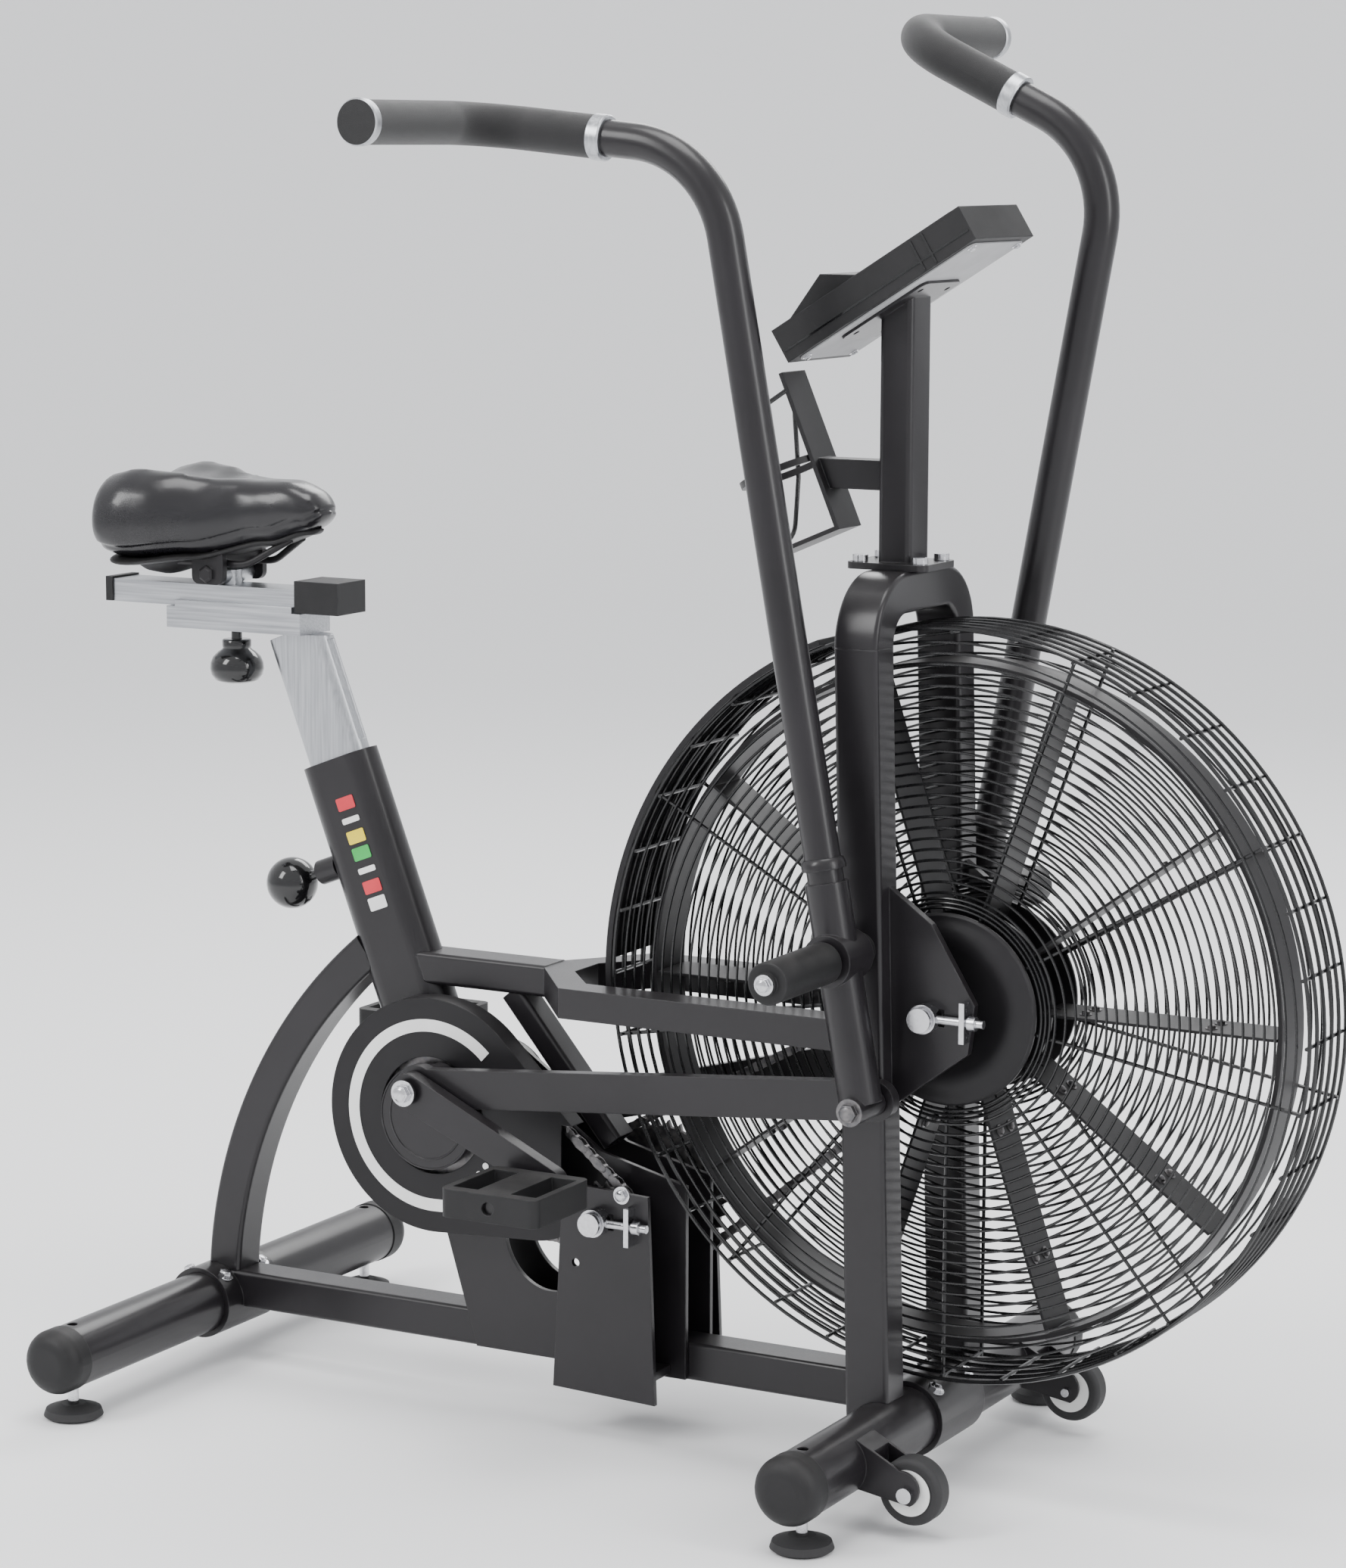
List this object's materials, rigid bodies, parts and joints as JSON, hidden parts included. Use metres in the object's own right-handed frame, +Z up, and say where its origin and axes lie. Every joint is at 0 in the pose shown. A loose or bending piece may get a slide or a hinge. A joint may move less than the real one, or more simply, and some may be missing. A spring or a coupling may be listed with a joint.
{
  "type": "air bike",
  "caption": "Fan resistance exercise bike with swinging handles linked to the pedal cranks, an adjustable saddle, a console on a mast and a guarded fan wheel in front.",
  "frame": {"origin": "on the floor, under the centre of the bounding box", "axes": "+X forward towards the fan, +Y to the rider's left, +Z up"},
  "size_m": [1.257, 0.676, 1.3062],
  "materials": {
    "powder_black": "satin powder coat",
    "cage_wire": "gloss coat",
    "guard_black": "satin",
    "bright_aluminium": "brushed",
    "bright_steel": "polished",
    "dark_steel": "machined",
    "black_plastic": "matte",
    "gloss_black": "gloss",
    "foam_grip": "matte foam",
    "rubber_foot": "matte",
    "caster": "matte",
    "saddle_vinyl": "gloss vinyl",
    "console_shell": "light grey matte",
    "button_grey": "matte",
    "button_red": "matte"
  },
  "bodies": {
    "frame": {"base_tube": "powder_black", "bottle_holder": "cage_wire", "cage_grille_left": "cage_wire", "cage_grille_right": "cage_wire", "cage_rim": "cage_wire", "chain_guard": "guard_black", "chain_tensioners": "bright_steel", "console_housing": "console_shell", "console_mast": "powder_black", "crank_bearings": "dark_steel", "crank_housing": "powder_black", "diagonal_brace": "powder_black", "drive_chains": "dark_steel", "fan_shroud": "guard_black", "fixed_axles": "bright_steel", "foot_pegs": "black_plastic", "fork_crown": "powder_black", "fork_leg_left": "powder_black", "fork_leg_right": "powder_black", "frame_bolts": "bright_steel", "front_stabilizer": "powder_black", "rear_arc_tube": "powder_black", "rear_stabilizer": "powder_black", "seat_tube": "powder_black", "stabilizer_end_caps": "black_plastic", "tension_plates": "powder_black", "top_beam": "powder_black"},
    "crank": {"crank_arm_right": "powder_black", "crank_arm_left": "powder_black", "crank_spindle": "dark_steel", "crank_sprocket": "dark_steel"},
    "pedal_r": {"pedal_right": "black_plastic"},
    "pedal_l": {"pedal_left": "black_plastic"},
    "rod_r": {"connecting_rod_right": "powder_black"},
    "rod_l": {"connecting_rod_left": "powder_black"},
    "jackshaft": {"jackshaft_sprockets": "dark_steel"},
    "fan": {"fan_hub": "powder_black", "fan_blades": "guard_black", "fan_rim": "guard_black", "fan_sprocket": "dark_steel"},
    "lever_r": {"handle_lever_right": "powder_black", "handle_grip_right": "foam_grip"},
    "lever_l": {"handle_lever_left": "powder_black", "handle_grip_left": "foam_grip"},
    "post": {"seat_post": "bright_aluminium", "seat_carriage": "bright_aluminium"},
    "knob": {"carriage_knob": "gloss_black"},
    "saddle_slide": {"saddle_rail": "bright_aluminium", "saddle_rail_caps": "black_plastic", "saddle": "saddle_vinyl"},
    "pull_pin": {"seat_pull_pin": "gloss_black"},
    "button_mode": {"console_button_mode": "button_grey"},
    "button_start": {"console_button_start": "button_grey"},
    "button_stop": {"console_button_stop": "button_red"},
    "foot_fl": {"levelling_foot_front_left": "rubber_foot"},
    "foot_fr": {"levelling_foot_front_right": "rubber_foot"},
    "foot_rl": {"levelling_foot_rear_left": "rubber_foot"},
    "foot_rr": {"levelling_foot_rear_right": "rubber_foot"},
    "caster_l": {"transport_wheel_left": "caster"},
    "caster_r": {"transport_wheel_right": "caster"}
  },
  "joints": [
    {"name": "crank_spin", "type": "hinge", "parent": "frame", "child": "crank", "pos_m": [-0.2325, 0, 0.285], "axis": [0, 1, 0], "continuous": true},
    {"name": "pedal_right_spin", "type": "hinge", "parent": "crank", "child": "pedal_r", "pos_m": [-0.06508, -0.16, 0.25548], "axis": [0, 1, 0], "continuous": true},
    {"name": "pedal_left_spin", "type": "hinge", "parent": "crank", "child": "pedal_l", "pos_m": [-0.39992, 0.16, 0.31452], "axis": [0, 1, 0], "continuous": true},
    {"name": "rod_right_swing", "type": "hinge", "parent": "crank", "child": "rod_r", "pos_m": [-0.21542, -0.11, 0.32337], "axis": [0, 1, 0], "continuous": true},
    {"name": "rod_left_swing", "type": "hinge", "parent": "crank", "child": "rod_l", "pos_m": [-0.24958, 0.11, 0.24663], "axis": [0, 1, 0], "continuous": true},
    {"name": "jackshaft_spin", "type": "hinge", "parent": "frame", "child": "jackshaft", "pos_m": [-0.0495, 0, 0.208], "axis": [0, 1, 0], "continuous": true},
    {"name": "fan_spin", "type": "hinge", "parent": "frame", "child": "fan", "pos_m": [0.2895, 0, 0.438], "axis": [0, 1, 0], "continuous": true},
    {"name": "lever_right_swing", "type": "hinge", "parent": "frame", "child": "lever_r", "pos_m": [0.23117, -0.142, 0.495], "axis": [0, 1, 0], "range_deg": [-8, 29]},
    {"name": "lever_left_swing", "type": "hinge", "parent": "frame", "child": "lever_l", "pos_m": [0.23117, 0.142, 0.495], "axis": [0, 1, 0], "range_deg": [-29, 8]},
    {"name": "seat_height", "type": "slide", "parent": "frame", "child": "post", "axis": [-0.3567, 0, 0.9342], "range_m": [-0.08, 0.06]},
    {"name": "carriage_knob_turn", "type": "hinge", "parent": "post", "child": "knob", "pos_m": [-0.491, 0, 0.7], "axis": [0, 0, 1], "continuous": true},
    {"name": "saddle_fore_aft", "type": "slide", "parent": "post", "child": "saddle_slide", "axis": [1, 0, 0], "range_m": [0, 0.07]},
    {"name": "pull_pin_pull", "type": "slide", "parent": "frame", "child": "pull_pin", "axis": [-0.9342, 0, -0.3567], "range_m": [0, 0.012], "stiffness_N_per_m": 1500},
    {"name": "button_mode_press", "type": "slide", "parent": "frame", "child": "button_mode", "axis": [0.8064, 0, -0.5914], "range_m": [0, 0.0015], "stiffness_N_per_m": 800},
    {"name": "button_start_press", "type": "slide", "parent": "frame", "child": "button_start", "axis": [0.8064, 0, -0.5914], "range_m": [0, 0.0015], "stiffness_N_per_m": 800},
    {"name": "button_stop_press", "type": "slide", "parent": "frame", "child": "button_stop", "axis": [0.8064, 0, -0.5914], "range_m": [0, 0.0015], "stiffness_N_per_m": 800},
    {"name": "foot_front_left_adjust", "type": "slide", "parent": "frame", "child": "foot_fl", "axis": [0, 0, 1], "range_m": [0, 0.012]},
    {"name": "foot_front_right_adjust", "type": "slide", "parent": "frame", "child": "foot_fr", "axis": [0, 0, 1], "range_m": [0, 0.012]},
    {"name": "foot_rear_left_adjust", "type": "slide", "parent": "frame", "child": "foot_rl", "axis": [0, 0, 1], "range_m": [0, 0.012]},
    {"name": "foot_rear_right_adjust", "type": "slide", "parent": "frame", "child": "foot_rr", "axis": [0, 0, 1], "range_m": [0, 0.012]},
    {"name": "caster_left_spin", "type": "hinge", "parent": "frame", "child": "caster_l", "pos_m": [0.3245, 0.172, 0.042], "axis": [0, 1, 0], "continuous": true},
    {"name": "caster_right_spin", "type": "hinge", "parent": "frame", "child": "caster_r", "pos_m": [0.3245, -0.172, 0.042], "axis": [0, 1, 0], "continuous": true}
  ],
  "couplings": [
    {"joint": "jackshaft_spin", "follows": "crank_spin", "ratio": 2.75},
    {"joint": "fan_spin", "follows": "crank_spin", "ratio": 6.6786},
    {"joint": "rod_right_swing", "follows": "crank_spin", "ratio": -1},
    {"joint": "rod_left_swing", "follows": "crank_spin", "ratio": -1},
    {"joint": "lever_left_swing", "follows": "lever_right_swing", "ratio": -1}
  ]
}
